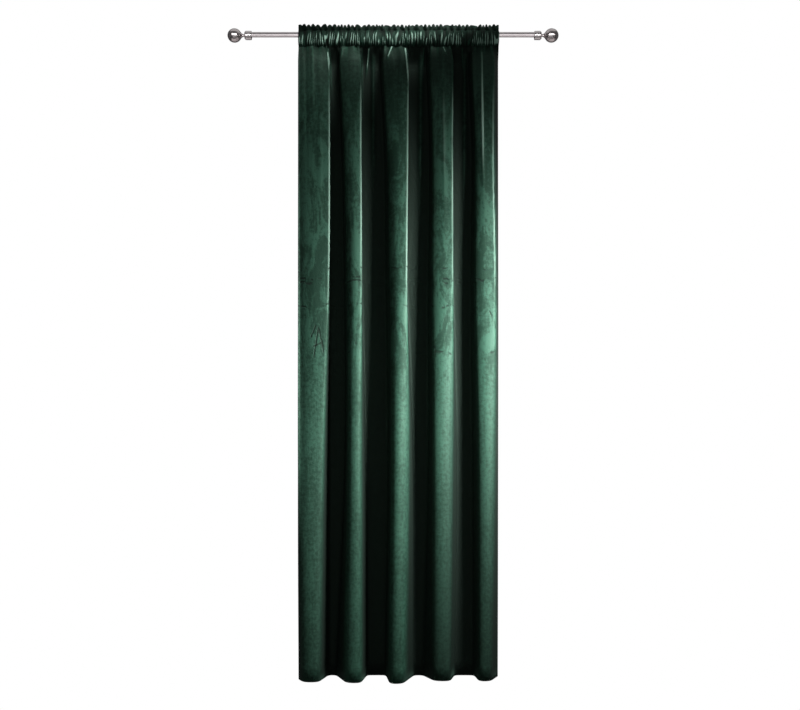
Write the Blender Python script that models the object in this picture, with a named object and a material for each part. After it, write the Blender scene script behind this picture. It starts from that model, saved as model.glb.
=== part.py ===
"""A velvet drape hung by its rod pocket on a curtain rod with ball finials.

Metres, +Z up. The origin is on the rod's axis, half-way along the rod. The front of
the cloth faces -Y, and the rod runs along X.

The drape is one piece of cloth. It hangs in five main folds below a heading of small
gathers: a pocket round the rod between two rows of stitching, and a frill above them
where the cloth turns over and comes down again behind the rod.
"""

import math
from collections import namedtuple

import bmesh
import bpy
import numpy as np

# The rod and its finials.
ROD_LENGTH = 1.200
ROD_RADIUS = 0.011
CAP_RADIUS = 0.0185
CAP_INNER_END = 0.583
CAP_OUTER_END = 0.611
CAP_CHAMFER = 0.005
CAP_EDGE = 0.001
CAP_DROP = 0.0032
BALL_RADIUS = 0.0288
BALL_CENTRE = 0.6530
NECK_RADIUS = 0.0075
WAIST_RADIUS = 0.0054
NECK_LENGTH = 0.003
SHOULDER_TURN = 38
STEM_RADIUS = 0.0045
STEM_LENGTH = 0.008
GAP = 0.0003
TURNED_SIDES = 32

# The cloth.
CLOTH = 0.002
FLAT_WIDTH = 1.400
HUNG_WIDTH = 0.824
LEFT_EDGE = -0.389
HEM_Z = -2.6566
LOW_STITCH_Z = -0.048
TOP_STITCH_Z = 0.017
FRILL_TOP_Z = 0.0435

# The gathers of the heading.
GATHERS = 28
COLUMNS_PER_GATHER = 4
STITCH_WAVE = 0.005
FRILL_WAVE = 0.009
FRILL_DIP = 0.009
POCKET_DEPTH = 0.0150
POCKET_PUFF = 0.011
RIPPLE_WAVE = 0.005
RIPPLE_REACH = 0.06
FOLDS_START_Z = -0.044
FOLDS_FULL_Z = -0.14

# A row of the pocket: its height, and how much of the puff the gathers have there.
PocketRow = namedtuple("PocketRow", "z puff")
POCKET_ROWS = (
    PocketRow(-0.034, 0.80),
    PocketRow(-0.012, 1.00),
    PocketRow(0.0085, 0.45),
)

# One main fold in plan, measured from the drape's left edge: where it leaves the trough
# before it, its first corner, its middle, its last corner, and where it reaches the
# trough after it. first and last are the corners' shares of the fold's depth, and depth
# is the fold's own share of the deepest fold.
Fold = namedtuple("Fold", "foot_in corner_in middle corner_out foot_out first last depth")
Level = namedtuple("Level", "z edge_in edge_out rounding folds")

LEVELS = (
    Level(-0.14, 0.79, 0.10, 0.004, (
        Fold(0.000, 0.004, 0.088, 0.130, 0.126, 0.80, 0.94, 0.95),
        Fold(0.164, 0.172, 0.232, 0.259, 0.254, 0.80, 0.94, 0.95),
        Fold(0.338, 0.350, 0.420, 0.453, 0.446, 0.80, 0.94, 1.00),
        Fold(0.530, 0.542, 0.606, 0.636, 0.630, 0.80, 0.94, 0.95),
        Fold(0.702, 0.714, 0.768, 0.803, 0.824, 0.80, 0.94, 0.95),
    )),
    Level(-0.42, 0.79, 0.10, 0.004, (
        Fold(0.000, 0.004, 0.085, 0.131, 0.122, 0.80, 0.95, 0.95),
        Fold(0.176, 0.188, 0.234, 0.260, 0.251, 0.78, 0.95, 0.95),
        Fold(0.352, 0.366, 0.420, 0.452, 0.442, 0.75, 0.95, 1.00),
        Fold(0.541, 0.553, 0.606, 0.635, 0.627, 0.78, 0.95, 0.92),
        Fold(0.716, 0.728, 0.768, 0.800, 0.824, 0.78, 0.95, 0.92),
    )),
    Level(-1.01, 0.77, 0.25, 0.005, (
        Fold(0.000, 0.006, 0.078, 0.128, 0.124, 0.78, 0.95, 0.92),
        Fold(0.188, 0.202, 0.236, 0.262, 0.258, 0.78, 0.95, 0.92),
        Fold(0.360, 0.381, 0.420, 0.447, 0.446, 0.78, 0.95, 1.00),
        Fold(0.536, 0.552, 0.600, 0.636, 0.636, 0.80, 0.95, 0.88),
        Fold(0.712, 0.727, 0.768, 0.808, 0.824, 0.80, 0.95, 0.88),
    )),
    Level(-1.71, 0.80, 0.25, 0.011, (
        Fold(0.000, 0.008, 0.055, 0.104, 0.120, 0.88, 0.92, 0.86),
        Fold(0.190, 0.208, 0.232, 0.258, 0.272, 0.90, 0.93, 0.92),
        Fold(0.369, 0.387, 0.408, 0.454, 0.470, 0.90, 0.76, 0.97),
        Fold(0.536, 0.556, 0.588, 0.636, 0.652, 0.90, 0.76, 0.82),
        Fold(0.719, 0.739, 0.772, 0.806, 0.824, 0.90, 0.86, 0.80),
    )),
    Level(HEM_Z, 0.45, 0.10, 0.014, (
        Fold(0.000, 0.018, 0.052, 0.086, 0.119, 0.90, 0.92, 0.82),
        Fold(0.152, 0.196, 0.230, 0.258, 0.280, 0.90, 0.94, 0.90),
        Fold(0.359, 0.376, 0.398, 0.430, 0.476, 0.90, 0.92, 1.00),
        Fold(0.513, 0.556, 0.592, 0.624, 0.645, 0.90, 0.94, 0.68),
        Fold(0.727, 0.742, 0.762, 0.790, 0.824, 0.92, 0.93, 0.70),
    )),
)
BODY_ROWS_Z = (HEM_Z, -2.18, -1.71, -1.30, -0.90, -0.50, -0.24, -0.14, -0.10, -0.068)

PLAN_POINTS = 1400
DEEPEST = 0.25


def gather_phases():
    """Where each column stands, counted in gathers, and its share of the cloth's width.

    The gathers are uneven: their shares follow a slow and a quick sine."""
    number = np.arange(GATHERS)
    share = 1 + 0.28 * np.sin(2.4 * number) + 0.18 * np.sin(5.1 * number + 1)
    ends = np.concatenate([[0], np.cumsum(share)]) / share.sum()
    phase = np.arange(GATHERS * COLUMNS_PER_GATHER + 1) / COLUMNS_PER_GATHER
    return phase, np.interp(phase, np.arange(GATHERS + 1), ends)


def at_height(z, values):
    """The levels' values at height z, on a smooth curve through the levels."""
    heights = np.array([level.z for level in LEVELS])
    slopes = np.gradient(values, heights, axis=0)
    upper = np.clip(np.searchsorted(-heights, -z, side="right") - 1, 0, len(heights) - 2)
    span = heights[upper + 1] - heights[upper]
    t = max((z - heights[upper]) / span, 0)
    ends = (2 * t**3 - 3 * t**2 + 1) * values[upper] + (3 * t**2 - 2 * t**3) * values[upper + 1]
    leads = (t**3 - 2 * t**2 + t) * slopes[upper] + (t**3 - t**2) * slopes[upper + 1]
    return ends + leads * span


def level_at(z):
    """The folds' table at height z."""
    edges = at_height(z, np.array([level[1:4] for level in LEVELS]))
    folds = at_height(z, np.array([level.folds for level in LEVELS]))
    return Level(z, *edges, [Fold(*row) for row in folds])


def rounded(values, spread):
    """A line's values in a bell-shaped average, which rounds its corners."""
    kernel = np.exp(-0.5 * (np.arange(-50, 51) / spread) ** 2)
    padded = np.pad(values, 50, mode="reflect", reflect_type="odd")
    return np.convolve(padded, kernel / kernel.sum(), mode="valid")


def plan_points(level):
    """The corners of a level's folds, along and across, before they are rounded.

    A fold's face is two parabolas that meet level at its middle."""
    along, across = [0.0], [level.edge_in]
    for number, fold in enumerate(level.folds):
        if number > 0:
            along.append(fold.foot_in)
            across.append(0.0)
        for t in np.linspace(-1, 1, 9):
            reach = fold.middle - fold.corner_in if t < 0 else fold.corner_out - fold.middle
            drop = 1 - (fold.first if t < 0 else fold.last)
            along.append(fold.middle + reach * t)
            across.append((1 - drop * t * t) * fold.depth)
        if number < len(level.folds) - 1:
            along.append(fold.foot_out)
            across.append(0.0)
    return np.array(along + [HUNG_WIDTH]), np.array(across + [level.edge_out])


def run_lengths(along, across):
    """The length of a line in plan up to each of its points."""
    steps = np.hypot(np.diff(along), np.diff(across))
    return np.concatenate([[0], np.cumsum(steps)])


def plan_of(level, shares):
    """A level's folds in plan at the given shares of the cloth's width.

    The folds are as deep as makes the line exactly as long as the cloth is wide, which
    bisection finds, and half of that depth lies on each side of the rod's axis."""
    corner_along, corner_across = plan_points(level)
    low, high = 0.0, DEEPEST
    for _ in range(30):
        depth = (low + high) / 2
        runs = run_lengths(corner_along, corner_across * depth)
        fine = np.linspace(0, runs[-1], PLAN_POINTS)
        spread = 0.8 * level.rounding * PLAN_POINTS / runs[-1]
        along = rounded(np.interp(fine, runs, corner_along), spread)
        across = rounded(np.interp(fine, runs, corner_across * depth), spread)
        lengths = run_lengths(along, across)
        if lengths[-1] > FLAT_WIDTH:
            high = depth
        else:
            low = depth
    wanted = shares * lengths[-1]
    return LEFT_EDGE + np.interp(wanted, lengths, along), depth / 2 - np.interp(wanted, lengths, across)


def smooth_step(value, start, end):
    """0 before start, 1 after end, and a smooth rise between."""
    t = np.clip((value - start) / (end - start), 0, 1)
    return t * t * (3 - 2 * t)


def body_line(z, phase, shares):
    """The cloth's middle line at height z, below the stitching.

    Near the stitching the folds shrink into the gathers, whose ripples die out
    downwards."""
    x, y = plan_of(level_at(z), shares)
    grown = smooth_step(-z, -FOLDS_START_Z, -FOLDS_FULL_Z) ** 0.7
    ripple = RIPPLE_WAVE * math.exp((z - LOW_STITCH_Z) / RIPPLE_REACH)
    x = (LEFT_EDGE + HUNG_WIDTH * shares) * (1 - grown) + x * grown
    return x, y * grown - ripple * np.cos(2 * math.pi * phase) * (1 - grown)


def offset_lines(x, y, half):
    """The two faces of the cloth either side of its middle line in plan.

    At a corner the faces move out further, so that the cloth keeps its thickness."""
    directions = np.diff(np.array([x, y]), axis=1)
    directions /= np.hypot(*directions)
    before, after = directions[:, :1], directions[:, -1:]
    joined = np.hstack([before, directions]) + np.hstack([directions, after])
    reach = half / np.maximum((joined**2).sum(axis=0) / 2, 1.0)
    nx, ny = joined[1] * reach, -joined[0] * reach
    return (x + nx, y + ny), (x - nx, y - ny)


def heading_rows(shares, phase):
    """The rows of the heading's front and back and of the pocket's inside.

    The pocket's rows go up its front wall and down its back wall. The frill dips where
    a gather lies back."""
    wave = np.cos(2 * math.pi * phase)
    forward, backward = (1 + wave) / 2, (1 - wave) / 2
    x = LEFT_EDGE + HUNG_WIDTH * shares
    stitch = -STITCH_WAVE * wave
    level = np.ones_like(x)
    front = [(x, stitch - CLOTH, LOW_STITCH_Z * level)]
    back = [(x, stitch + CLOTH, LOW_STITCH_Z * level)]
    wall_front, wall_back = [], []
    for row in POCKET_ROWS:
        near = -(POCKET_DEPTH + POCKET_PUFF * row.puff * forward)
        far = POCKET_DEPTH + POCKET_PUFF * row.puff * backward
        front.append((x, near - CLOTH / 2, row.z * level))
        back.append((x, far + CLOTH / 2, row.z * level))
        wall_front.append((x, near + CLOTH / 2, row.z * level))
        wall_back.append((x, far - CLOTH / 2, row.z * level))
    for share in (0, 0.45, 1):
        line = stitch * (1 - share) - FRILL_WAVE * wave * share
        z = TOP_STITCH_Z + (FRILL_TOP_Z - TOP_STITCH_Z) * share - FRILL_DIP * backward * share
        front.append((x, line - CLOTH, z))
        back.append((x, line + CLOTH, z))
    bottom = (x, stitch, (LOW_STITCH_Z + 2 * CLOTH) * level)
    top = (x, stitch, (TOP_STITCH_Z - CLOTH) * level)
    return front, back, [bottom, *wall_front, top, *reversed(wall_back)]


def mesh_object(name, bm, material, smooth_angle):
    """A scene object from a finished bmesh, with its faces turned outwards."""
    bmesh.ops.recalc_face_normals(bm, faces=bm.faces)
    mesh = bpy.data.meshes.new(name)
    bm.to_mesh(mesh)
    bm.free()
    mesh.materials.append(material)
    mesh.shade_smooth()
    mesh.set_sharp_from_angle(angle=math.radians(smooth_angle))
    made = bpy.data.objects.new(name, mesh)
    bpy.context.scene.collection.objects.link(made)
    return made


def add_row(bm, row):
    """One row of vertices across the cloth."""
    return [bm.verts.new(point) for point in np.column_stack(row).tolist()]


def bridge(bm, rows):
    """Strips of triangles from each row to the next, all split the same way, so that the
    two faces of the cloth stay parallel where they are warped."""
    for lower, upper in zip(rows, rows[1:]):
        for i in range(len(lower) - 1):
            bm.faces.new((lower[i], lower[i + 1], upper[i + 1]))
            bm.faces.new((lower[i], upper[i + 1], upper[i]))


def close_side(bm, near, far, wall, seam):
    """The cut edge of the cloth at one side: the body, round the pocket, and the frill.

    seam is the row of the low stitching, and the pocket reaches half-way round wall."""
    top = len(wall) // 2
    upper = seam + top
    for i in (*range(seam), *range(upper, len(near) - 1)):
        bm.faces.new((near[i], near[i + 1], far[i + 1], far[i]))
    for i in range(top):
        bm.faces.new((near[seam + i], near[seam + i + 1], wall[i + 1], wall[i]))
        bm.faces.new((far[seam + i], far[seam + i + 1], wall[-i - 1], wall[-i % len(wall)]))
    bm.faces.new((near[seam], wall[0], far[seam]))
    bm.faces.new((near[upper], wall[top], far[upper]))


def drape(material):
    """The one piece of cloth, as a closed sheet with a tunnel for the rod.

    Rows run up the front and the back, and up the front and back walls of the tunnel.
    The hem and the frill's top join the first two, and the side edges close the cloth."""
    phase, shares = gather_phases()
    front, back = [], []
    for z in BODY_ROWS_Z:
        x, y = body_line(z, phase, shares)
        near, far = offset_lines(x, y, CLOTH / 2)
        front.append((*near, np.full_like(x, z)))
        back.append((*far, np.full_like(x, z)))
    seam = len(front)
    heading_front, heading_back, pocket = heading_rows(shares, phase)
    front += heading_front
    back += heading_back

    bm = bmesh.new()
    near_rows = [add_row(bm, row) for row in front]
    far_rows = [add_row(bm, row) for row in back]
    wall_rows = [add_row(bm, row) for row in pocket]
    top = len(wall_rows) // 2
    bridge(bm, near_rows)
    bridge(bm, far_rows)
    bridge(bm, wall_rows[: top + 1])
    bridge(bm, wall_rows[:1] + wall_rows[: top - 1 : -1])
    bridge(bm, [near_rows[0], far_rows[0]])
    bridge(bm, [near_rows[-1], far_rows[-1]])
    for side in (0, -1):
        rows = [[row[side] for row in rows] for rows in (near_rows, far_rows, wall_rows)]
        close_side(bm, *rows, seam)
    return mesh_object("drape", bm, material, 60)


def turned(name, outline, material, side=1):
    """A piece turned about the rod's axis from an outline of (distance along X, radius).

    An outline that starts off the axis runs round the piece's wall and closes on itself.
    side is 1 for the right-hand end of the rod and -1 for the left-hand one."""
    bm = bmesh.new()
    points = [bm.verts.new((side * along, 0, radius)) for along, radius in outline]
    edges = [bm.edges.new(pair) for pair in zip(points, points[1:])]
    if outline[0][1] > 0:
        edges.append(bm.edges.new((points[-1], points[0])))
    bmesh.ops.spin(
        bm,
        geom=points + edges,
        cent=(0, 0, 0),
        axis=(1, 0, 0),
        angle=2 * math.pi,
        steps=TURNED_SIDES,
        use_merge=True,
    )
    bmesh.ops.remove_doubles(bm, verts=bm.verts, dist=1e-6)
    return mesh_object(name, bm, material, 40)


def rod(material):
    """The rod itself, a plain round bar."""
    half = ROD_LENGTH / 2
    return turned("rod", [(-half, 0), (-half, ROD_RADIUS), (half, ROD_RADIUS), (half, 0)], material)


def end_cap(name, material, side):
    """The loose cap on the rod's end, with a hole in its front for the ball's stem.

    Its bore is wider than the rod, so it hangs a little below the rod's axis."""
    bore, hole = ROD_RADIUS + GAP + CAP_DROP, STEM_RADIUS + GAP
    seat = ROD_LENGTH / 2 + GAP
    outline = [
        (CAP_INNER_END, bore),
        (CAP_INNER_END, CAP_RADIUS - CAP_EDGE),
        (CAP_INNER_END + CAP_EDGE, CAP_RADIUS),
        (CAP_OUTER_END - CAP_CHAMFER, CAP_RADIUS),
        (CAP_OUTER_END, CAP_RADIUS - CAP_CHAMFER),
        (CAP_OUTER_END, hole),
        (seat, hole),
        (seat, bore),
    ]
    turned(name, outline, material, side).location.z = -CAP_DROP


def ball(name, material, side):
    """The ball with its waisted neck and drawn-out shoulder, and the stem that goes into
    the cap."""
    foot = CAP_OUTER_END + GAP
    outline = [
        (CAP_OUTER_END - STEM_LENGTH, 0),
        (CAP_OUTER_END - STEM_LENGTH, STEM_RADIUS),
        (foot, STEM_RADIUS),
        (foot, NECK_RADIUS),
        (foot + NECK_LENGTH, WAIST_RADIUS),
    ]
    turns = np.radians(np.linspace(SHOULDER_TURN, 180, 13))
    first = BALL_CENTRE - BALL_RADIUS * math.cos(turns[0])
    rise = BALL_RADIUS * math.sin(turns[0]) - WAIST_RADIUS
    for t in (0.35, 0.6, 0.82):
        outline.append((foot + NECK_LENGTH + (first - foot - NECK_LENGTH) * t, WAIST_RADIUS + rise * t * t))
    for turn in turns[:-1]:
        outline.append((BALL_CENTRE - BALL_RADIUS * math.cos(turn), BALL_RADIUS * math.sin(turn)))
    outline.append((BALL_CENTRE + BALL_RADIUS, 0))
    turned(name, outline, material, side).location.z = -CAP_DROP


def finish(name, colour, roughness, metallic):
    """A material of one colour."""
    material = bpy.data.materials.new(name)
    material.use_nodes = True
    shader = material.node_tree.nodes["Principled BSDF"]
    shader.inputs["Base Color"].default_value = (*colour, 1)
    shader.inputs["Roughness"].default_value = roughness
    shader.inputs["Metallic"].default_value = metallic
    return material


def main():
    for old in list(bpy.data.objects):
        bpy.data.objects.remove(old)
    drape(finish("green_velvet", (0.012, 0.060, 0.036), 0.9, 0.0))
    rod(finish("rod_steel", (0.58, 0.56, 0.55), 0.32, 1.0))
    cap_steel = finish("cap_steel", (0.55, 0.53, 0.51), 0.30, 1.0)
    ball_steel = finish("ball_steel", (0.52, 0.50, 0.49), 0.36, 1.0)
    for word, side in (("left", -1), ("right", 1)):
        end_cap(f"end_cap_{word}", cap_steel, side)
        ball(f"ball_{word}", ball_steel, side)


main()
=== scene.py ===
import math

import bpy
import numpy as np
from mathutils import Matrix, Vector


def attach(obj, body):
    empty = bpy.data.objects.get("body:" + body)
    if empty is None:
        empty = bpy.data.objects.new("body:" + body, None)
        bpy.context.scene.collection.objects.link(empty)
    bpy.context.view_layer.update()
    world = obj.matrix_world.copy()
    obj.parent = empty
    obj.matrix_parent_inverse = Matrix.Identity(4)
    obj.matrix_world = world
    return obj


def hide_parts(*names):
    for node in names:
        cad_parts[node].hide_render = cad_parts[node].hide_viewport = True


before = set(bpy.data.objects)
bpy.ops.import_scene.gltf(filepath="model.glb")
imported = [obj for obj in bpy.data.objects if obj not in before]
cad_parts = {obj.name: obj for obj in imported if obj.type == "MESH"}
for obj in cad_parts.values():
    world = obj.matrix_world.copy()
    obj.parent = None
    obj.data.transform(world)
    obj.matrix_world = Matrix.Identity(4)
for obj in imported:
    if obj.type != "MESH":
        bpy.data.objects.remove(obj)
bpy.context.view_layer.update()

print("frame loaded:", ", ".join(sorted(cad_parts)))


# The drape's cloth, in metres.
cloth = {
    "flatWidth": 1.400,
    "hungWidth": 0.824,
    "leftEdge": -0.389,
    "hemZ": -2.6566,
    "lowStitchZ": -0.048,
    "topStitchZ": 0.017,
    "frillTopZ": 0.0435,
    "thickness": 0.0018,
    "columns": 400,
    "columnCrowding": 0.6,   # how much closer the columns stand on the folds' faces
    "bodyRows": 76,
    "rowCrowding": 1.7,      # how much closer the body's rows stand near the heading
    "pocketRows": 15,
    "frillRows": 9,
    "planSteps": 1400,       # points along a row of folds while its depth is sought
    "deepest": 0.25,         # the deepest fold that is tried
    "crestHighlightPast": 0.0020,     # where the painted highlight line along a fold's last corner runs
    "crestHighlightWidth": 0.0035,
    "sway": 0.0012,          # broad unevenness of the hanging cloth
}

gathers = {
    "count": 28,
    "followFolds": 0.75,     # how much the gathers crowd above the folds
    "crowding": 8.0,         # columns over which their crowding is evened out
    "stitchWave": 0.0048,    # how far the gathers swing where they are sewn
    "pocketDepth": 0.0155,   # the pocket's inside radius round the rod
    "pocketPuff": 0.0090,
    "lowPuff": 0.0050,       # small puffs just above the lower stitching
    "creases": 84,           # thin creases up the pocket
    "crease": 0.0048,
    "gap": 0.0050,           # gaps sunk between the pocket's gathers, also darkened with painted shade
    "frillBumps": 47,
    "frillWave": 0.0048,     # how far the frill swings forwards and back
    "frillNotch": 0.0145,    # how deep the notches between its bumps are
    "frillDip": 0.0035,      # how far its top rises and falls over several bumps
    "frillLean": 0.0020,     # how far its bumps lean sideways
    "rippleWave": 0.0042,    # the gathers just below the lower stitching
    "rippleReach": 0.05,
    "streak": 0.0022,        # long soft streaks below them
    "streakReach": 0.35,
    "crimp": 0.0016,         # small crumples between the gathers
    "crimpReach": 0.06,
    "stitchHighlightReach": 0.03,     # painted highlight flecks just below the stitching
    "foldsStartZ": -0.044,
    "foldsFullZ": -0.12,
}

# One row for each fold in plan, measured from the left edge: where it leaves the trough,
# its first corner, its middle, its second corner, where it meets the next trough, the
# corners' shares of the fold's depth, and the fold's share of the deepest fold.
foldColumns = ("footIn", "cornerIn", "peak", "cornerOut", "footOut", "first", "last", "depth")
foldLevels = [
    {"z": -0.14, "edgeIn": 0.79, "edgeOut": 0.10, "rounding": 0.004, "folds": [
        (0.000, 0.004, 0.088, 0.130, 0.126, 0.80, 0.94, 0.95),
        (0.164, 0.172, 0.232, 0.259, 0.254, 0.80, 0.94, 0.95),
        (0.338, 0.350, 0.420, 0.453, 0.446, 0.80, 0.94, 1.00),
        (0.530, 0.542, 0.606, 0.636, 0.630, 0.80, 0.94, 0.95),
        (0.702, 0.714, 0.768, 0.803, 0.824, 0.80, 0.94, 0.95)]},
    {"z": -0.42, "edgeIn": 0.79, "edgeOut": 0.10, "rounding": 0.004, "folds": [
        (0.000, 0.004, 0.085, 0.131, 0.122, 0.80, 0.95, 0.95),
        (0.176, 0.188, 0.234, 0.260, 0.251, 0.78, 0.95, 0.95),
        (0.352, 0.366, 0.420, 0.452, 0.442, 0.75, 0.95, 1.00),
        (0.541, 0.553, 0.606, 0.635, 0.627, 0.78, 0.95, 0.92),
        (0.716, 0.728, 0.768, 0.800, 0.824, 0.78, 0.95, 0.92)]},
    {"z": -1.01, "edgeIn": 0.77, "edgeOut": 0.25, "rounding": 0.005, "folds": [
        (0.000, 0.006, 0.078, 0.128, 0.124, 0.78, 0.95, 0.92),
        (0.188, 0.202, 0.236, 0.262, 0.258, 0.78, 0.95, 0.92),
        (0.360, 0.381, 0.420, 0.447, 0.446, 0.78, 0.95, 1.00),
        (0.536, 0.552, 0.600, 0.636, 0.636, 0.80, 0.95, 0.88),
        (0.712, 0.727, 0.768, 0.808, 0.824, 0.80, 0.95, 0.88)]},
    {"z": -1.71, "edgeIn": 0.80, "edgeOut": 0.25, "rounding": 0.011, "folds": [
        (0.000, 0.008, 0.055, 0.104, 0.120, 0.88, 0.92, 0.86),
        (0.190, 0.208, 0.232, 0.258, 0.272, 0.90, 0.93, 0.92),
        (0.369, 0.387, 0.408, 0.454, 0.470, 0.90, 0.76, 0.97),
        (0.536, 0.556, 0.588, 0.636, 0.652, 0.90, 0.76, 0.82),
        (0.719, 0.739, 0.772, 0.806, 0.824, 0.90, 0.86, 0.80)]},
    {"z": -2.6566, "edgeIn": 0.45, "edgeOut": 0.10, "rounding": 0.014, "folds": [
        (0.000, 0.018, 0.052, 0.086, 0.119, 0.90, 0.92, 0.82),
        (0.152, 0.196, 0.230, 0.258, 0.280, 0.90, 0.94, 0.90),
        (0.359, 0.376, 0.398, 0.430, 0.476, 0.90, 0.92, 1.00),
        (0.513, 0.556, 0.592, 0.624, 0.645, 0.90, 0.94, 0.68),
        (0.727, 0.742, 0.762, 0.790, 0.824, 0.92, 0.93, 0.70)]},
]

# Soft ridges and creases laid on the folds: where each starts and ends, its half
# width, how far it stands towards the front (a negative one is a trough), and how much
# painted highlight it carries.
ridgeColumns = ("xTop", "zTop", "xFoot", "zFoot", "width", "height", "paintedShine")
ridges = [
    (-0.300, -0.06, -0.296, -0.90, 0.010, 0.0020, 0.0),
    (-0.357, -0.05, -0.352, -0.60, 0.008, -0.0025, 0.0),
    (-0.330, -0.05, -0.326, -0.40, 0.006, 0.0022, 0.15),
    (-0.268, -0.05, -0.262, -0.20, 0.003, 0.0030, 0.8),
    (-0.262, -0.06, -0.251, -0.30, 0.003, 0.0030, 0.6),
    (-0.205, -0.05, -0.214, -0.12, 0.003, 0.0030, 0.5),
    (-0.082, -0.06, -0.080, -0.75, 0.008, 0.0075, 0.1),
    (-0.099, -0.05, -0.115, -0.19, 0.004, 0.0055, 1.1),
    (-0.128, -0.05, -0.127, -0.40, 0.003, 0.0030, 0.6),
    (-0.004, -0.05, -0.030, -0.13, 0.004, 0.0060, 1.1),
    (0.049, -0.05, 0.068, -0.25, 0.004, 0.0050, 1.1),
    (0.020, -0.05, 0.016, -0.50, 0.009, -0.0020, 0.0),
    (0.116, -0.06, 0.112, -0.80, 0.009, 0.0080, 0.1),
    (0.128, -0.05, 0.120, -0.14, 0.003, 0.0030, 0.6),
    (0.206, -0.05, 0.224, -0.10, 0.004, 0.0045, 1.0),
    (0.205, -0.05, 0.213, -0.90, 0.007, 0.0024, 0.15),
    (0.180, -0.05, 0.184, -0.45, 0.006, -0.0020, 0.0),
    (0.298, -0.06, 0.297, -0.80, 0.008, 0.0080, 0.1),
    (0.285, -0.05, 0.292, -0.16, 0.003, 0.0030, 0.7),
    (0.363, -0.05, 0.371, -0.74, 0.005, 0.0042, 0.7),
    (0.340, -0.05, 0.346, -0.50, 0.007, -0.0020, 0.0),
]


def smoothStep(value, start, end):
    # 0 before start, 1 after end, and 3 t^2 - 2 t^3 between.
    t = np.clip((value - start) / (end - start), 0, 1)
    return t * t * (3 - 2 * t)


def patchNoise(across, along, seed):
    # Random numbers from -1 to 1 on a lattice that repeats, blended by smooth steps
    # between its points.
    wide, high = 97, 89
    lattice = np.random.default_rng(seed).uniform(-1, 1, (wide, high))
    i, j = np.floor(across).astype(int), np.floor(along).astype(int)
    s, t = smoothStep(across - i, 0, 1), smoothStep(along - j, 0, 1)
    left, right, low, top = i % wide, (i + 1) % wide, j % high, (j + 1) % high
    near = lattice[left, low] * (1 - s) + lattice[right, low] * s
    far = lattice[left, top] * (1 - s) + lattice[right, top] * s
    return near * (1 - t) + far * t


def readLevels(z, values):
    # The levels' values at height z, on cubic curves whose slopes come from the neighbours.
    heights = np.array([level["z"] for level in foldLevels])
    slopes = np.gradient(values, heights, axis=0)
    upper = int(np.clip(np.searchsorted(-heights, -z, side="right") - 1, 0, len(heights) - 2))
    span = heights[upper + 1] - heights[upper]
    t = max((z - heights[upper]) / span, 0)
    return ((2 * t**3 - 3 * t**2 + 1) * values[upper] + (3 * t**2 - 2 * t**3) * values[upper + 1]
            + ((t**3 - 2 * t**2 + t) * slopes[upper] + (t**3 - t**2) * slopes[upper + 1]) * span)


def roundedLine(values, spread):
    # A bell-shaped average along a line rounds its corners and keeps its ends.
    reach = 50
    kernel = np.exp(-0.5 * (np.arange(-reach, reach + 1) / spread) ** 2)
    padded = np.pad(values, reach, mode="reflect", reflect_type="odd")
    return np.convolve(padded, kernel / kernel.sum(), mode="valid")


def lineLength(along, across):
    # The length of a line up to each of its points.
    return np.concatenate([[0], np.cumsum(np.hypot(np.diff(along), np.diff(across)))])


def foldCorners(folds, edgeIn, edgeOut):
    # The corners of the folds in a row, and which of them are the folds' last corners.
    # Between its two corners a fold's face is two parabolas that meet level at its middle.
    along, across, crests = [0.0], [edgeIn], []
    for number, row in enumerate(folds):
        fold = dict(zip(foldColumns, row))
        if number > 0:
            along.append(fold["footIn"])
            across.append(0.0)
        t = np.linspace(-1, 1, 25)
        reach = np.where(t < 0, fold["peak"] - fold["cornerIn"], fold["cornerOut"] - fold["peak"])
        drop = np.where(t < 0, 1 - fold["first"], 1 - fold["last"])
        along += list(fold["peak"] + reach * t)
        across += list((1 - drop * t * t) * fold["depth"])
        crests.append(len(along) - 1)
        if number < len(folds) - 1:
            along.append(fold["footOut"])
            across.append(0.0)
    return np.array(along + [cloth["hungWidth"]]), np.array(across + [edgeOut]), crests


def planOfRow(z, shares, tables):
    # The folds at height z, joined and rounded, as deep as makes the line as long as the
    # cloth is wide (found by halving), then read at the cloth's shares. Also how far each
    # point stands out of the troughs, and how near it is to a fold's sharp last corner.
    folds, edges = readLevels(z, tables[0]), readLevels(z, tables[1])
    cornerAlong, cornerAcross, crests = foldCorners(folds, edges[0], edges[1])
    low, high = 0.0, cloth["deepest"]
    for _ in range(24):
        depth = (low + high) / 2
        runs = lineLength(cornerAlong, cornerAcross * depth)
        fine = np.linspace(0, runs[-1], cloth["planSteps"])
        spread = 0.8 * edges[2] / (runs[-1] / cloth["planSteps"])
        x = roundedLine(np.interp(fine, runs, cornerAlong), spread)
        y = roundedLine(np.interp(fine, runs, cornerAcross * depth), spread)
        lengths = lineLength(x, y)
        low, high = (low, depth) if lengths[-1] > cloth["flatWidth"] else (depth, high)
    wanted = shares * lengths[-1]
    lift = np.interp(wanted, lengths, y)
    crestRuns = np.interp(runs[crests], fine, lengths)
    away = np.abs(wanted[:, None] - crestRuns).min(axis=1)
    near = np.exp(-((away - cloth["crestHighlightPast"]) / cloth["crestHighlightWidth"]) ** 2)
    return np.array([cloth["leftEdge"] + np.interp(wanted, lengths, x), depth / 2 - lift,
                     lift / depth, near])


def headingLines(shares, tables):
    # Where the cloth stands along the lower stitching, mostly above its place in the folds,
    # and where it would stand if it were spread evenly, as it is along the frill's top.
    folded = roundedLine(planOfRow(foldLevels[0]["z"], shares, tables)[0], gathers["crowding"])
    even = cloth["leftEdge"] + cloth["hungWidth"] * shares
    follow = gathers["followFolds"]
    return follow * folded + (1 - follow) * even, even


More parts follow.
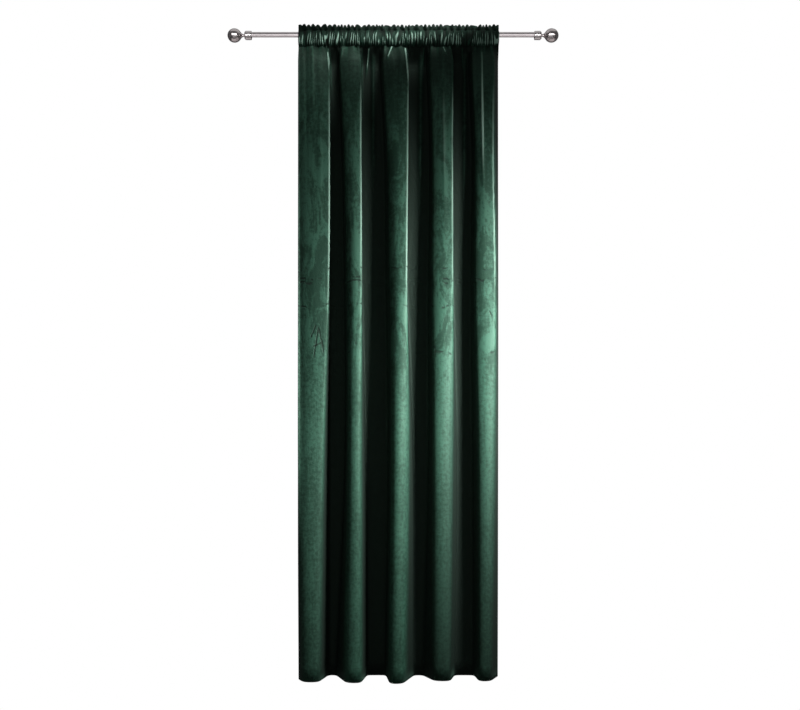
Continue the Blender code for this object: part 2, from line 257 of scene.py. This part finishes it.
def clothShares(tables):
    # Shares of the cloth's width for the columns, closer together on the folds' faces
    # than in the troughs, where less of the cloth shows.
    fine = np.linspace(0, 1, 1600)
    folded, even = headingLines(fine, tables)
    place = (folded - folded[0]) / (folded[-1] - folded[0])
    crowd = cloth["columnCrowding"]
    return np.interp(np.linspace(0, 1, cloth["columns"]), crowd * place + (1 - crowd) * fine, fine)


def gatherPhase(shares):
    # Counts gathers across the cloth. Their widths follow a slow and a quick sine.
    number = np.arange(gathers["count"])
    width = 1 + 0.28 * np.sin(2.4 * number) + 0.18 * np.sin(5.1 * number + 1)
    ends = np.concatenate([[0], np.cumsum(width)]) / width.sum()
    return np.interp(shares, ends, np.arange(gathers["count"] + 1))


def ridgeShape(x, z):
    # Each ridge is a bell across its line, and fades in and out along it. Also its painted
    # highlight, on a narrower bell.
    height, paintedShine = np.zeros_like(x), np.zeros_like(x)
    for row in ridges:
        ridge = dict(zip(ridgeColumns, row))
        t = (z - ridge["zTop"]) / (ridge["zFoot"] - ridge["zTop"])
        middle = ridge["xTop"] + (ridge["xFoot"] - ridge["xTop"]) * t
        fade = smoothStep(t, 0.0, 0.05) * (1 - smoothStep(t, 0.45, 1.0))
        bell = np.exp(-((x - middle) / ridge["width"]) ** 2) * fade
        height += ridge["height"] * bell
        paintedShine += ridge["paintedShine"] * bell ** 2
    return height, paintedShine


def bodySurface(shares, phase, lines, tables):
    # From the hem to the lower stitching: the folds in plan, less the ripples, streaks and
    # crumples that die out below the stitching, and the ridges. Near the top the folds
    # shrink into the gathers. The painted light mask is 0 for painted shade in a trough, 1
    # on a fold's face and more for a painted highlight on a crease.
    down = np.linspace(1, 0, cloth["bodyRows"], endpoint=False) ** cloth["rowCrowding"]
    z = cloth["lowStitchZ"] + (cloth["hemZ"] - cloth["lowStitchZ"]) * down
    plan = np.array([planOfRow(height, shares, tables) for height in z])
    grown = smoothStep(-z, -gathers["foldsStartZ"], -gathers["foldsFullZ"])[:, None] ** 0.7
    below = (cloth["lowStitchZ"] - z)[:, None]
    x = lines[0] * (1 - grown) + plan[:, 0] * grown
    u = shares[None, :] * np.ones_like(x)
    z = z[:, None] * np.ones_like(x)
    reach = gathers["rippleReach"] * (1 + 0.9 * patchNoise(u * 40, 0 * u, 3))
    ripple = gathers["rippleWave"] * np.exp(-below / reach) * np.cos(2 * math.pi * phase)
    streak = gathers["streak"] * patchNoise(u * 46, z * 1.3, 8)
    streak = streak * np.exp(-below / gathers["streakReach"])
    crimp = gathers["crimp"] * patchNoise(u * 90, below * 12, 5)
    crimp = crimp * np.exp(-below / gathers["crimpReach"])
    # The ridges' painted highlights go into the painted light below.
    ridge, paintedShine = ridgeShape(x, z)
    sway = cloth["sway"] * patchNoise(u * 16, z * 3.5, 11)
    y = plan[:, 1] * grown - ripple * (1 - 0.6 * grown) - streak - crimp - ridge - sway
    # A painted highlight line along each fold's last corner, in the upper half of the drape.
    lift, crestHighlight = plan[:, 2], plan[:, 3] * smoothStep(z, -1.45, -0.8)
    # Painted highlight flecks just below the stitching, on the folds' faces.
    stitchHighlight = np.exp(-below / gathers["stitchHighlightReach"])
    stitchHighlight = stitchHighlight * smoothStep(patchNoise(u * 130, 0 * u, 14), 0.3, 0.8)
    # Painted shade: the troughs are painted dark, and so is the cloth just below the heading.
    paintedLight = smoothStep(lift, 0.42, 0.93) * (0.3 + 0.7 * smoothStep(-z, 0.06, 0.30))
    # Painted highlight: ridges that stand forward are painted lighter.
    paintedLight = paintedLight + 0.45 * np.clip(ridge / 0.008, 0, 1) * (1 - paintedLight)
    paintedLight = paintedLight + 1.3 * paintedShine + 0.45 * crestHighlight + 0.7 * stitchHighlight * smoothStep(lift, 0.3, 0.8)
    return np.stack([x, y - cloth["thickness"] * 0.6, z], axis=-1), paintedLight


def pocketSurface(shares, phase, lines, side):
    # A bulge between the two rows of stitching, a power of a sine: the pocket's depth, a
    # puff where the gathers lie towards this side, small low puffs, thin slanting creases
    # and gaps. The creases are a high power of a cosine across the cloth, broken where a
    # noise is low. side is -1 for the front, 1 for the back.
    t = np.linspace(0, 1, cloth["pocketRows"])[:, None] * np.ones_like(shares)
    u = shares[None, :] * np.ones_like(t)
    slant = 0.9 * patchNoise(u * 22, 0 * u, 21) + 0.5 * patchNoise(u * 55, t * 2, 22)
    wave = np.cos(2 * math.pi * (phase + slant * (t - 0.5) * 0.6))
    towards = (1 - side * wave) / 2
    bulge = np.maximum(np.sin(math.pi * t), 0) ** (0.85 - 0.4 * smoothStep(t, 0.15, 0.6))
    puff = np.abs(np.sin(math.pi * t ** 0.8)) ** 0.8
    x = lines[0] + (lines[1] - lines[0]) * 0.5 * t
    lean = (x - cloth["leftEdge"]) / cloth["hungWidth"] * gathers["creases"]
    lean = lean + 0.9 * patchNoise(u * 30, 0 * u, 24 + side) + slant * t
    broken = smoothStep(patchNoise(lean * 1.3, t * 1.2, 23 + side), -0.7, 0.1)
    crease = np.abs(np.cos(math.pi * lean)) ** 6 * broken
    gap = smoothStep(patchNoise(lean + 0.4, t * 0.9, 29 + side), -0.15, 0.2)
    low = np.exp(-((t - 0.16) / 0.10) ** 2)
    low = low * smoothStep(patchNoise(u * 70, 0 * u, 41 + side), -0.2, 0.6)
    z = cloth["lowStitchZ"] + (cloth["topStitchZ"] - cloth["lowStitchZ"]) * t
    stitched = -gathers["stitchWave"] * np.cos(2 * math.pi * phase) * (1 - bulge)
    out = gathers["pocketDepth"] * bulge + puff * (
        gathers["pocketPuff"] * towards ** 0.8 + gathers["crease"] * crease
        + gathers["lowPuff"] * low - gathers["gap"] * gap * towards)
    # Painted light on the pocket: painted highlights on the creases and low puffs, painted shade
    # in the gaps, and the rest partly in painted shade.
    paintedLight = 0.40 + 2.1 * crease * puff + 0.6 * low - 0.6 * gap * (1 - crease)
    return np.stack([x, stitched + side * (out + cloth["thickness"] * 0.6), z], axis=-1), paintedLight


def frillSurface(shares, phase, lines, side):
    # The frill stands up from the upper stitching. A cosine swings it forwards at one bump
    # and back at the next, a low power of the same cosine cuts a sharp notch between them,
    # and its two layers meet at the top.
    t = np.linspace(0, 1, cloth["frillRows"])[:, None] * np.ones_like(shares)
    u = shares[None, :] * np.ones_like(t)
    bump = u * gathers["frillBumps"] + 0.75 * patchNoise(u * 21, 0 * u, 31)
    swing = -gathers["stitchWave"] * (1 - t) * np.cos(2 * math.pi * phase)
    swing = swing - gathers["frillWave"] * np.sqrt(t) * np.cos(math.pi * bump)
    notch = 1 - np.abs(np.cos(math.pi * bump)) ** 0.55
    uneven = 0.9 + 0.4 * patchNoise(u * 17, 0 * u, 34)
    sink = gathers["frillNotch"] * notch * uneven
    sink = sink + gathers["frillDip"] * (1 + patchNoise(u * 9, 0 * u, 36)) / 2
    z = cloth["topStitchZ"] + (cloth["frillTopZ"] - cloth["topStitchZ"]) * t - sink * t ** 1.2
    layer = cloth["thickness"] * (0.6 + 0.7 * np.sin(math.pi * t)) * np.sqrt(1 - t ** 6)
    x = lines[0] + (lines[1] - lines[0]) * (0.5 + 0.5 * t)
    x = x + gathers["frillLean"] * patchNoise(u * 26, 0 * u, 35) * t
    return np.stack([x, swing + side * layer, z], axis=-1)


def clothSurface():
    # The path of the cloth: up the front, over the frill and down behind the rod.
    edges = [[level["edgeIn"], level["edgeOut"], level["rounding"]] for level in foldLevels]
    tables = np.array([level["folds"] for level in foldLevels]), np.array(edges)
    shares = clothShares(tables)
    phase = gatherPhase(shares)
    lines = headingLines(shares, tables)
    body, bodyPaintedLight = bodySurface(shares, phase, lines, tables)
    front, frontPaintedLight = pocketSurface(shares, phase, lines, -1)
    back, backPaintedLight = pocketSurface(shares, phase, lines, 1)
    frillFront = frillSurface(shares, phase, lines, -1)[1:]
    frillBack = frillSurface(shares, phase, lines, 1)[-2::-1]
    up = np.linspace(0, 1, cloth["frillRows"])
    edge = np.concatenate([up[1:], up[-2::-1]])[:, None]
    # Painted light on the frill: painted shade all over it, with painted highlight flecks near its
    # top edge.
    frillPaintedLight = 0.10 + 0.9 * edge ** 3 * smoothStep(patchNoise(shares * 90, edge * 3, 38), 0.0, 0.7)
    points = np.concatenate([body, front, frillFront, frillBack, back[-2::-1]])
    paintedLight = np.concatenate([bodyPaintedLight, frontPaintedLight, frillPaintedLight, backPaintedLight[-2::-1]])
    return points, paintedLight, shares


def gridMesh(name, points):
    # A grid of points (rows, columns, 3) made into quads.
    rows, columns = points.shape[:2]
    index = np.arange(rows * columns).reshape(rows, columns)
    quads = np.stack([index[:-1, :-1], index[:-1, 1:], index[1:, 1:], index[1:, :-1]], axis=-1)
    quads = quads.reshape(-1, 4)
    mesh = bpy.data.meshes.new(name)
    mesh.vertices.add(rows * columns)
    mesh.vertices.foreach_set("co", points.astype(np.float32).ravel())
    mesh.loops.add(quads.size)
    mesh.loops.foreach_set("vertex_index", quads.astype(np.int32).ravel())
    mesh.polygons.add(len(quads))
    mesh.polygons.foreach_set("loop_start", np.arange(0, quads.size, 4, dtype=np.int32))
    mesh.update(calc_edges=True)
    mesh.validate()
    mesh.shade_smooth()
    made = bpy.data.objects.new(name, mesh)
    bpy.context.scene.collection.objects.link(made)
    return made


def pointUvs(piece, name, across, along):
    # A UV map from two values at each vertex.
    mesh = piece.data
    corners = np.empty(len(mesh.loops), np.int32)
    mesh.loops.foreach_get("vertex_index", corners)
    layer = mesh.uv_layers.new(name=name)
    values = np.stack([across.ravel()[corners], along.ravel()[corners]], axis=-1)
    layer.uv.foreach_set("vector", values.astype(np.float32).ravel())


def buildDrape():
    # The sheet with its painted light and shade as an attribute and a UV map in metres of cloth,
    # and its length.
    points, paintedLight, shares = clothSurface()
    piece = gridMesh("velvetDrape", points)
    brushed = piece.data.attributes.new("paintedLight", "FLOAT", "POINT")
    brushed.data.foreach_set("value", paintedLight.astype(np.float32).ravel())
    steps = np.linalg.norm(np.diff(points, axis=0), axis=-1).mean(axis=1)
    along = np.concatenate([[0], np.cumsum(steps)])
    across, along = np.meshgrid(shares * cloth["flatWidth"], along)
    pointUvs(piece, "clothUV", across, along)
    thick = piece.modifiers.new("thickness", "SOLIDIFY")
    thick.thickness = cloth["thickness"]
    thick.offset = 0
    thick.material_offset = 1    # the reverse has the second material
    length = along[-1, 0]
    print(f"drape: {len(piece.data.polygons)} faces, cloth {length:.3f} m long")
    return piece, length


class Value:
    # A node's output that can be used in an expression.
    def __init__(self, tree, socket):
        self.tree, self.socket = tree, socket

    def math(self, operation, *others):
        return makeNode(self.tree, "ShaderNodeMath", {"operation": operation},
                        dict(enumerate((self, *others))))

    def __add__(self, other): return self.math("ADD", other)
    def __radd__(self, other): return self.math("ADD", other)
    def __mul__(self, other): return self.math("MULTIPLY", other)
    def __rmul__(self, other): return self.math("MULTIPLY", other)
    def __sub__(self, other): return self.math("SUBTRACT", other)
    def __rsub__(self, other): return (self * -1) + other
    def __truediv__(self, other): return self.math("DIVIDE", other)
    def __pow__(self, other): return self.math("POWER", other)
    def __abs__(self): return self.math("ABSOLUTE")


def makeNode(tree, kind, settings=None, inputs=None, out=0):
    # Adds one node: its settings first, then the values or links of its sockets.
    node = tree.nodes.new(kind)
    for name, value in (settings or {}).items():
        setattr(node, name, value)
    for name, value in (inputs or {}).items():
        if isinstance(value, Value):
            tree.links.new(value.socket, node.inputs[name])
        else:
            node.inputs[name].default_value = value
    return Value(tree, node.outputs[out])


def newMaterial(name, constants):
    # A Principled material whose unchanging values are set straight on its sockets.
    material = bpy.data.materials.new(name)
    material.use_nodes = True
    shader = material.node_tree.nodes["Principled BSDF"]
    for socket, value in constants.items():
        shader.inputs[socket].default_value = value
    return material, material.node_tree, shader


def mixColours(tree, factor, first, second):
    # The first colour where the factor is 0, the second where it is 1.
    return makeNode(tree, "ShaderNodeMix", {"data_type": "RGBA"},
                    {0: factor, 6: first, 7: second}, out=2)


def between(value, low, high, start=0.0, end=1.0):
    # A smooth step from start to end as the value goes from low to high.
    return makeNode(value.tree, "ShaderNodeMapRange", {"interpolation_type": "SMOOTHSTEP"}, {
        "Value": value, "From Min": low, "From Max": high, "To Min": start, "To Max": end})


def noiseOf(tree, place, scale, detail=2.0, roughness=0.6, distortion=0.0):
    return makeNode(tree, "ShaderNodeTexNoise", {}, {
        "Vector": place, "Scale": scale, "Detail": detail, "Roughness": roughness,
        "Distortion": distortion})


def stretched(tree, place, scale, turn=0.0):
    # A place scaled along each axis and turned by some degrees about the last one.
    return makeNode(tree, "ShaderNodeMapping", {}, {
        "Vector": place, "Scale": scale, "Rotation": (0, 0, math.radians(turn))})


def stroke(across, along, start, end, width):
    # A short line in the cloth: 1 on it, fading over its width and towards its ends.
    length = math.dist(start, end)
    dx, dy = (end[0] - start[0]) / length, (end[1] - start[1]) / length
    u, v = across - start[0], along - start[1]
    aside = between(abs(u * dy - v * dx), 0.0, width, 1.0, 0.0)
    inside = between(abs((u * dx + v * dy) / length - 0.5), 0.35, 0.55, 1.0, 0.0)
    return aside * inside


# Places in the cloth are measured across it from its left edge and up from the hem.
# Sizes are in metres of cloth.
velvetLook = {
    # The first colour is painted shade for the troughs, and also the dark colour of the pile's
    # marks.
    "deep": (0.0040, 0.0060, 0.0050, 1),
    "pile": (0.0065, 0.032, 0.019, 1),
    "brushed": (0.032, 0.100, 0.066, 1),
    # A painted highlight colour, far paler than the pile, for creases, crests and ridges.
    "paintedHighlight": (0.520, 0.800, 0.660, 1),
    "deepRoughness": 0.68,
    "roughness": 0.55,
    "sheen": 0.06,
    "sheenTint": (0.40, 0.80, 0.60, 1),
    "specularTint": (0.66, 1.0, 0.80, 1),
    "bumpStrength": 0.7,
    "bumpDistance": 0.0016,
    "mottleStarts": (1.15, 1.45),    # the mottle comes in between these heights
    "mottleFades": (2.10, 2.50),     # and nearly fades out between these
    "lineWidth": 0.0070,
    "packingLines": [1.69, 1.648, 1.632, 1.54, 1.345],
    "scratchWidth": 0.0055,
    "scratches": [
        ((0.068, 1.325), (0.088, 1.455)),
        ((0.088, 1.455), (0.110, 1.345)),
        ((0.056, 1.405), (0.077, 1.462)),
        ((0.064, 1.372), (0.100, 1.388)),
        ((1.318, 1.520), (1.334, 1.494)),
    ],
    "ringRadius": 0.011,
    "ringWidth": 0.005,
    "rings": [(0.366, 1.386), (0.970, 1.357)],
}


def pileMarks(tree, place, across, along):
    # Fold lines from the packing, scratches and rings in the pile, each fading over its
    # width. The lines waver, and all but the scratches are broken by a noise.
    look = velvetLook
    broken = between(noiseOf(tree, stretched(tree, place, (1.0, 0.6, 1.0)), 22.0), 0.50, 0.62)
    wobble = (noiseOf(tree, place, 9.0, 3.0) - 0.5) * 0.07
    bent = (noiseOf(tree, place, 40.0) - 0.5) * 0.012
    marks = [between(abs(along + wobble - height), 0.0, look["lineWidth"], 1.0, 0.0) * broken
             for height in look["packingLines"]]
    for start, end in look["scratches"]:
        marks.append(stroke(across + bent, along, start, end, look["scratchWidth"]))
    for u, v in look["rings"]:
        away = ((across - u) ** 2 + ((along - v) * 0.8) ** 2) ** 0.5
        ring = between(abs(away - look["ringRadius"]), 0.0, look["ringWidth"], 1.0, 0.0)
        marks.append(ring * broken)
    return sum(marks)


def velvetMaterial():
    # Colour goes from painted shade in the troughs to the pile's own colour on the faces and
    # painted highlights on creases, crests and ridges. The middle of the drape is mottled where
    # the pile lies in different directions, and has the marks of its packing.
    look = velvetLook
    material, tree, shader = newMaterial("greenVelvet", {
        "Metallic": 0.0,
        "IOR": 1.5,
        "Specular IOR Level": 0.6,
        "Specular Tint": look["specularTint"],
        "Sheen Weight": look["sheen"],
        "Sheen Roughness": 0.35,
        "Sheen Tint": look["sheenTint"],
    })
    place = makeNode(tree, "ShaderNodeUVMap", {"uv_map": "clothUV"})
    across = makeNode(tree, "ShaderNodeSeparateXYZ", {}, {0: place}, out=0)
    along = makeNode(tree, "ShaderNodeSeparateXYZ", {}, {0: place}, out=1)
    paintedLight = makeNode(tree, "ShaderNodeAttribute", {"attribute_name": "paintedLight"}, out=2)

    zone = between(along, *look["mottleStarts"]) * between(along, *look["mottleFades"], 1.0, 0.15)
    slanted = stretched(tree, place, (1.0, 0.42, 1.0), 32)
    patches = noiseOf(tree, slanted, 16.0, 5.0, 0.62, 1.1)
    broad = noiseOf(tree, stretched(tree, place, (1.0, 0.5, 1.0), -25), 5.0, 2.0, 0.5, 0.6)
    streaks = noiseOf(tree, stretched(tree, place, (1.0, 0.10, 1.0)), 130.0, 3.0)
    pile = noiseOf(tree, place, 420.0)
    fluff = noiseOf(tree, place, 75.0, 3.0)
    marks = pileMarks(tree, place, across, along)

    # How the pile lies: 0 smoothed down and dark, 1 brushed up and light.
    lie = (0.5 + (between(patches, 0.36, 0.64) - 0.5) * (0.2 + 0.8 * zone) + (broad - 0.5)
           + (streaks - 0.5) * 0.7 + (fluff - 0.5) * 1.7)
    raised = paintedLight.math("MINIMUM", 1.0)
    face = mixColours(tree, between(lie, 0.0, 1.0), look["pile"], look["brushed"])
    # Painted shade: where the attribute is 0, in the troughs, the colour is the near-black first
    # colour.
    colour = mixColours(tree, raised, look["deep"], face)
    # Painted highlights: where the attribute passes 1, the colour turns to the pale highlight
    # colour.
    colour = mixColours(tree, between(paintedLight, 1.0, 1.9), colour, look["paintedHighlight"])
    colour = mixColours(tree, between(marks, 0.0, 1.1) * 0.9, colour, look["deep"])
    tree.links.new(colour.socket, shader.inputs["Base Color"])
    faceRough = look["roughness"] + 0.06 * pile + 0.12 * between(lie, 1.0, 0.0) + 0.12 * marks
    rough = look["deepRoughness"] + (faceRough - look["deepRoughness"]) * raised
    tree.links.new(rough.socket, shader.inputs["Roughness"])
    height = pile * 0.3 + streaks * 0.25 + fluff * 0.8 + patches * 2.2 * zone - marks
    bump = makeNode(tree, "ShaderNodeBump", {}, {
        "Strength": look["bumpStrength"], "Distance": look["bumpDistance"], "Height": height})
    tree.links.new(bump.socket, shader.inputs["Normal"])
    return material


# The cloth's reverse has no pile: a dull knitted ground with faint ribs down the cloth.
reverseLook = {
    "rib": (0.026, 0.080, 0.054, 1),
    "between": (0.014, 0.048, 0.032, 1),
    "ribs": 620.0,
    "roughness": 0.82,
    "sheen": 0.10,
    "bumpStrength": 0.5,
    "bumpDistance": 0.0006,
}


def reverseMaterial():
    # Ribs are a fine noise drawn out along the cloth, and a broad noise wears them unevenly.
    look = reverseLook
    material, tree, shader = newMaterial("velvetReverse", {
        "Metallic": 0.0,
        "IOR": 1.5,
        "Specular IOR Level": 0.25,
        "Sheen Weight": look["sheen"],
        "Sheen Roughness": 0.5,
    })
    place = makeNode(tree, "ShaderNodeUVMap", {"uv_map": "clothUV"})
    ribs = noiseOf(tree, stretched(tree, place, (1.0, 0.05, 1.0)), look["ribs"], 1.0)
    worn = noiseOf(tree, stretched(tree, place, (1.0, 0.4, 1.0)), 14.0, 4.0)
    lit = between(0.6 * ribs + 0.4 * worn, 0.35, 0.65)
    colour = mixColours(tree, lit, look["between"], look["rib"])
    tree.links.new(colour.socket, shader.inputs["Base Color"])
    tree.links.new((look["roughness"] + 0.1 * (worn - 0.5)).socket, shader.inputs["Roughness"])
    bump = makeNode(tree, "ShaderNodeBump", {}, {
        "Strength": look["bumpStrength"], "Distance": look["bumpDistance"], "Height": ribs})
    tree.links.new(bump.socket, shader.inputs["Normal"])
    return material


# The rod is drawn tube, and the balls and caps are brushed along the same axis. grain is
# how fine the streaks are along and across it.
steelLook = {
    "rod": {"tone": (0.72, 0.68, 0.69), "roughness": 0.40, "grain": (14.0, 500.0, 500.0)},
    "cap": {"tone": (0.68, 0.64, 0.64), "roughness": 0.26, "grain": (30.0, 240.0, 240.0)},
    "ball": {"tone": (0.60, 0.55, 0.55), "roughness": 0.24, "grain": (16.0, 190.0, 190.0)},
}


def steelMaterial(name):
    # Brushed steel: long streaks change its tone and its roughness a little.
    look = steelLook[name]
    material, tree, shader = newMaterial(name + "Steel", {"Metallic": 1.0})
    place = makeNode(tree, "ShaderNodeTexCoord", out=3)
    grain = noiseOf(tree, stretched(tree, place, look["grain"]), 1.0, 3.0)
    darker = [0.72 * c for c in look["tone"]]
    colour = mixColours(tree, between(grain, 0.3, 0.7), (*darker, 1), (*look["tone"], 1))
    tree.links.new(colour.socket, shader.inputs["Base Color"])
    tree.links.new((look["roughness"] + 0.16 * (grain - 0.5)).socket, shader.inputs["Roughness"])
    bump = makeNode(tree, "ShaderNodeBump", {}, {
        "Strength": 0.25, "Distance": 0.0003, "Height": grain})
    tree.links.new(bump.socket, shader.inputs["Normal"])
    return material


stage = {
    "cameraDistance": 4.578,
    "lens": 50.0,
    "aimX": 0.0288,          # the drape hangs a little right of the rod's middle
    "aimZ": -1.3196,
    "floorZ": -2.70,
    "floorHalf": 6.0,
    "floorTone": 0.5,
    "roomLight": 0.11,       # how much of the white room's light reaches the part
}

# Each light's place, the point it faces, its size, its watts, its spread in degrees, its
# colour and what it lights: the drape, the rod, the finials or all the metal.
lightColumns = ("place", "target", "size", "watts", "spread", "colour", "lit")
white, rosy, paleRosy = (1, 1, 1), (1.0, 0.94, 0.94), (1.0, 0.96, 0.96)
lights = {
    "keyPanel": ((1.35, -1.00, -1.02), (0.05, 0, -1.52), (0.4, 0.5), 21, 84, white, "drape"),
    "lowFill": ((0, -2.6, -2.0), (0, 0, -2.3), (2.0, 0.8), 2, 180, white, "drape"),
    "backPanel": ((0.6, 2.6, -1.2), (0, 0, -1.35), (2.0, 2.0), 40, 180, white, "drape"),
    "headingStrip": ((0.25, -0.42, 0.42), (0.05, 0, 0.004), (1.1, 0.06), 0.38, 22, white, "drape"),
    "metalAbove": ((0, 0.2, 1.6), (0, 0, 0), (4.0, 2.0), 14, 180, white, "metal"),
    "metalBelow": ((0, 0.2, -1.6), (0, 0, 0), (4.0, 2.0), 16, 180, rosy, "metal"),
    "metalRoom": ((0, -2.4, -0.9), (0, 0, 0), (4.0, 2.2), 10, 180, white, "metal"),
    "finialBand": ((0, -2.0, 0.14), (0, 0, 0), (4.0, 0.2), 32, 180, white, "finials"),
    "rodBand": ((0, -2.0, -0.8), (0, 0, 0), (4.0, 1.5), 32, 180, paleRosy, "rod"),
}


def aimAt(thing, target):
    thing.rotation_euler = (Vector(target) - thing.location).to_track_quat("-Z", "Y").to_euler()


def softLight(name, row, pieces):
    # An area light that reaches only the pieces it is for.
    panel = dict(zip(lightColumns, row))
    data = bpy.data.lights.new(name, "AREA")
    data.shape = "RECTANGLE"
    data.size, data.size_y = panel["size"]
    data.energy = panel["watts"]
    data.spread = math.radians(panel["spread"])
    data.color = panel["colour"]
    light = bpy.data.objects.new(name, data)
    light.location = panel["place"]
    aimAt(light, panel["target"])
    bpy.context.scene.collection.objects.link(light)
    group = bpy.data.collections.new(name + "Receivers")
    for piece in pieces[panel["lit"]]:
        group.objects.link(piece)
    light.light_linking.receiver_collection = group


def buildStage():
    # The camera, a white room that lights the part only a little, and a pale floor that
    # looks as white as the room.
    scene = bpy.context.scene
    scene.view_settings.view_transform = "Standard"
    camera = bpy.data.cameras.new("frontCamera")
    camera.lens = stage["lens"]
    eye = bpy.data.objects.new("frontCamera", camera)
    eye.location = (stage["aimX"], -stage["cameraDistance"], stage["aimZ"])
    aimAt(eye, (stage["aimX"], 0, stage["aimZ"]))
    scene.collection.objects.link(eye)
    scene.camera = eye

    world = bpy.data.worlds.new("paleRoom")
    world.use_nodes = True
    scene.world = world
    tree = world.node_tree
    back = tree.nodes["Background"]
    seen = makeNode(tree, "ShaderNodeLightPath")
    strength = seen * (1 - stage["roomLight"]) + stage["roomLight"]
    tree.links.new(strength.socket, back.inputs["Strength"])
    back.inputs["Color"].default_value = (1, 1, 1, 1)

    ends = [-stage["floorHalf"], stage["floorHalf"]]
    x, y = np.meshgrid(ends, ends)
    floor = gridMesh("paleFloor", np.stack([x, y, np.full_like(x, stage["floorZ"])], axis=-1))
    material = bpy.data.materials.new("palePaint")
    material.use_nodes = True
    tree = material.node_tree
    tree.nodes.clear()
    seen = makeNode(tree, "ShaderNodeLightPath")
    tone = (stage["floorTone"],) * 3
    paint = makeNode(tree, "ShaderNodeBsdfDiffuse", {}, {"Color": (*tone, 1)})
    glow = makeNode(tree, "ShaderNodeEmission", {}, {"Color": (1, 1, 1, 1), "Strength": 1.0})
    both = makeNode(tree, "ShaderNodeMixShader", {}, {0: seen, 1: paint, 2: glow})
    output = tree.nodes.new("ShaderNodeOutputMaterial")
    tree.links.new(both.socket, output.inputs["Surface"])
    floor.data.materials.append(material)


drape, clothLength = buildDrape()
for material in (velvetMaterial(), reverseMaterial()):
    drape.data.materials.append(material)
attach(drape, "root")
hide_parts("drape")

steel = {name: steelMaterial(name) for name in steelLook}
metalNodes = {
    "rod": "rod",
    "end_cap_left": "cap", "end_cap_right": "cap",
    "ball_left": "ball", "ball_right": "ball",
}
for node, look in metalNodes.items():
    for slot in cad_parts[node].material_slots:
        slot.material = steel[look]
print("materials made")

buildStage()
rod, *finials = [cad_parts[node] for node in metalNodes]
pieces = {"drape": [drape], "rod": [rod], "finials": finials, "metal": [rod, *finials]}
for name, row in lights.items():
    softLight(name, row, pieces)
print("stage lit")
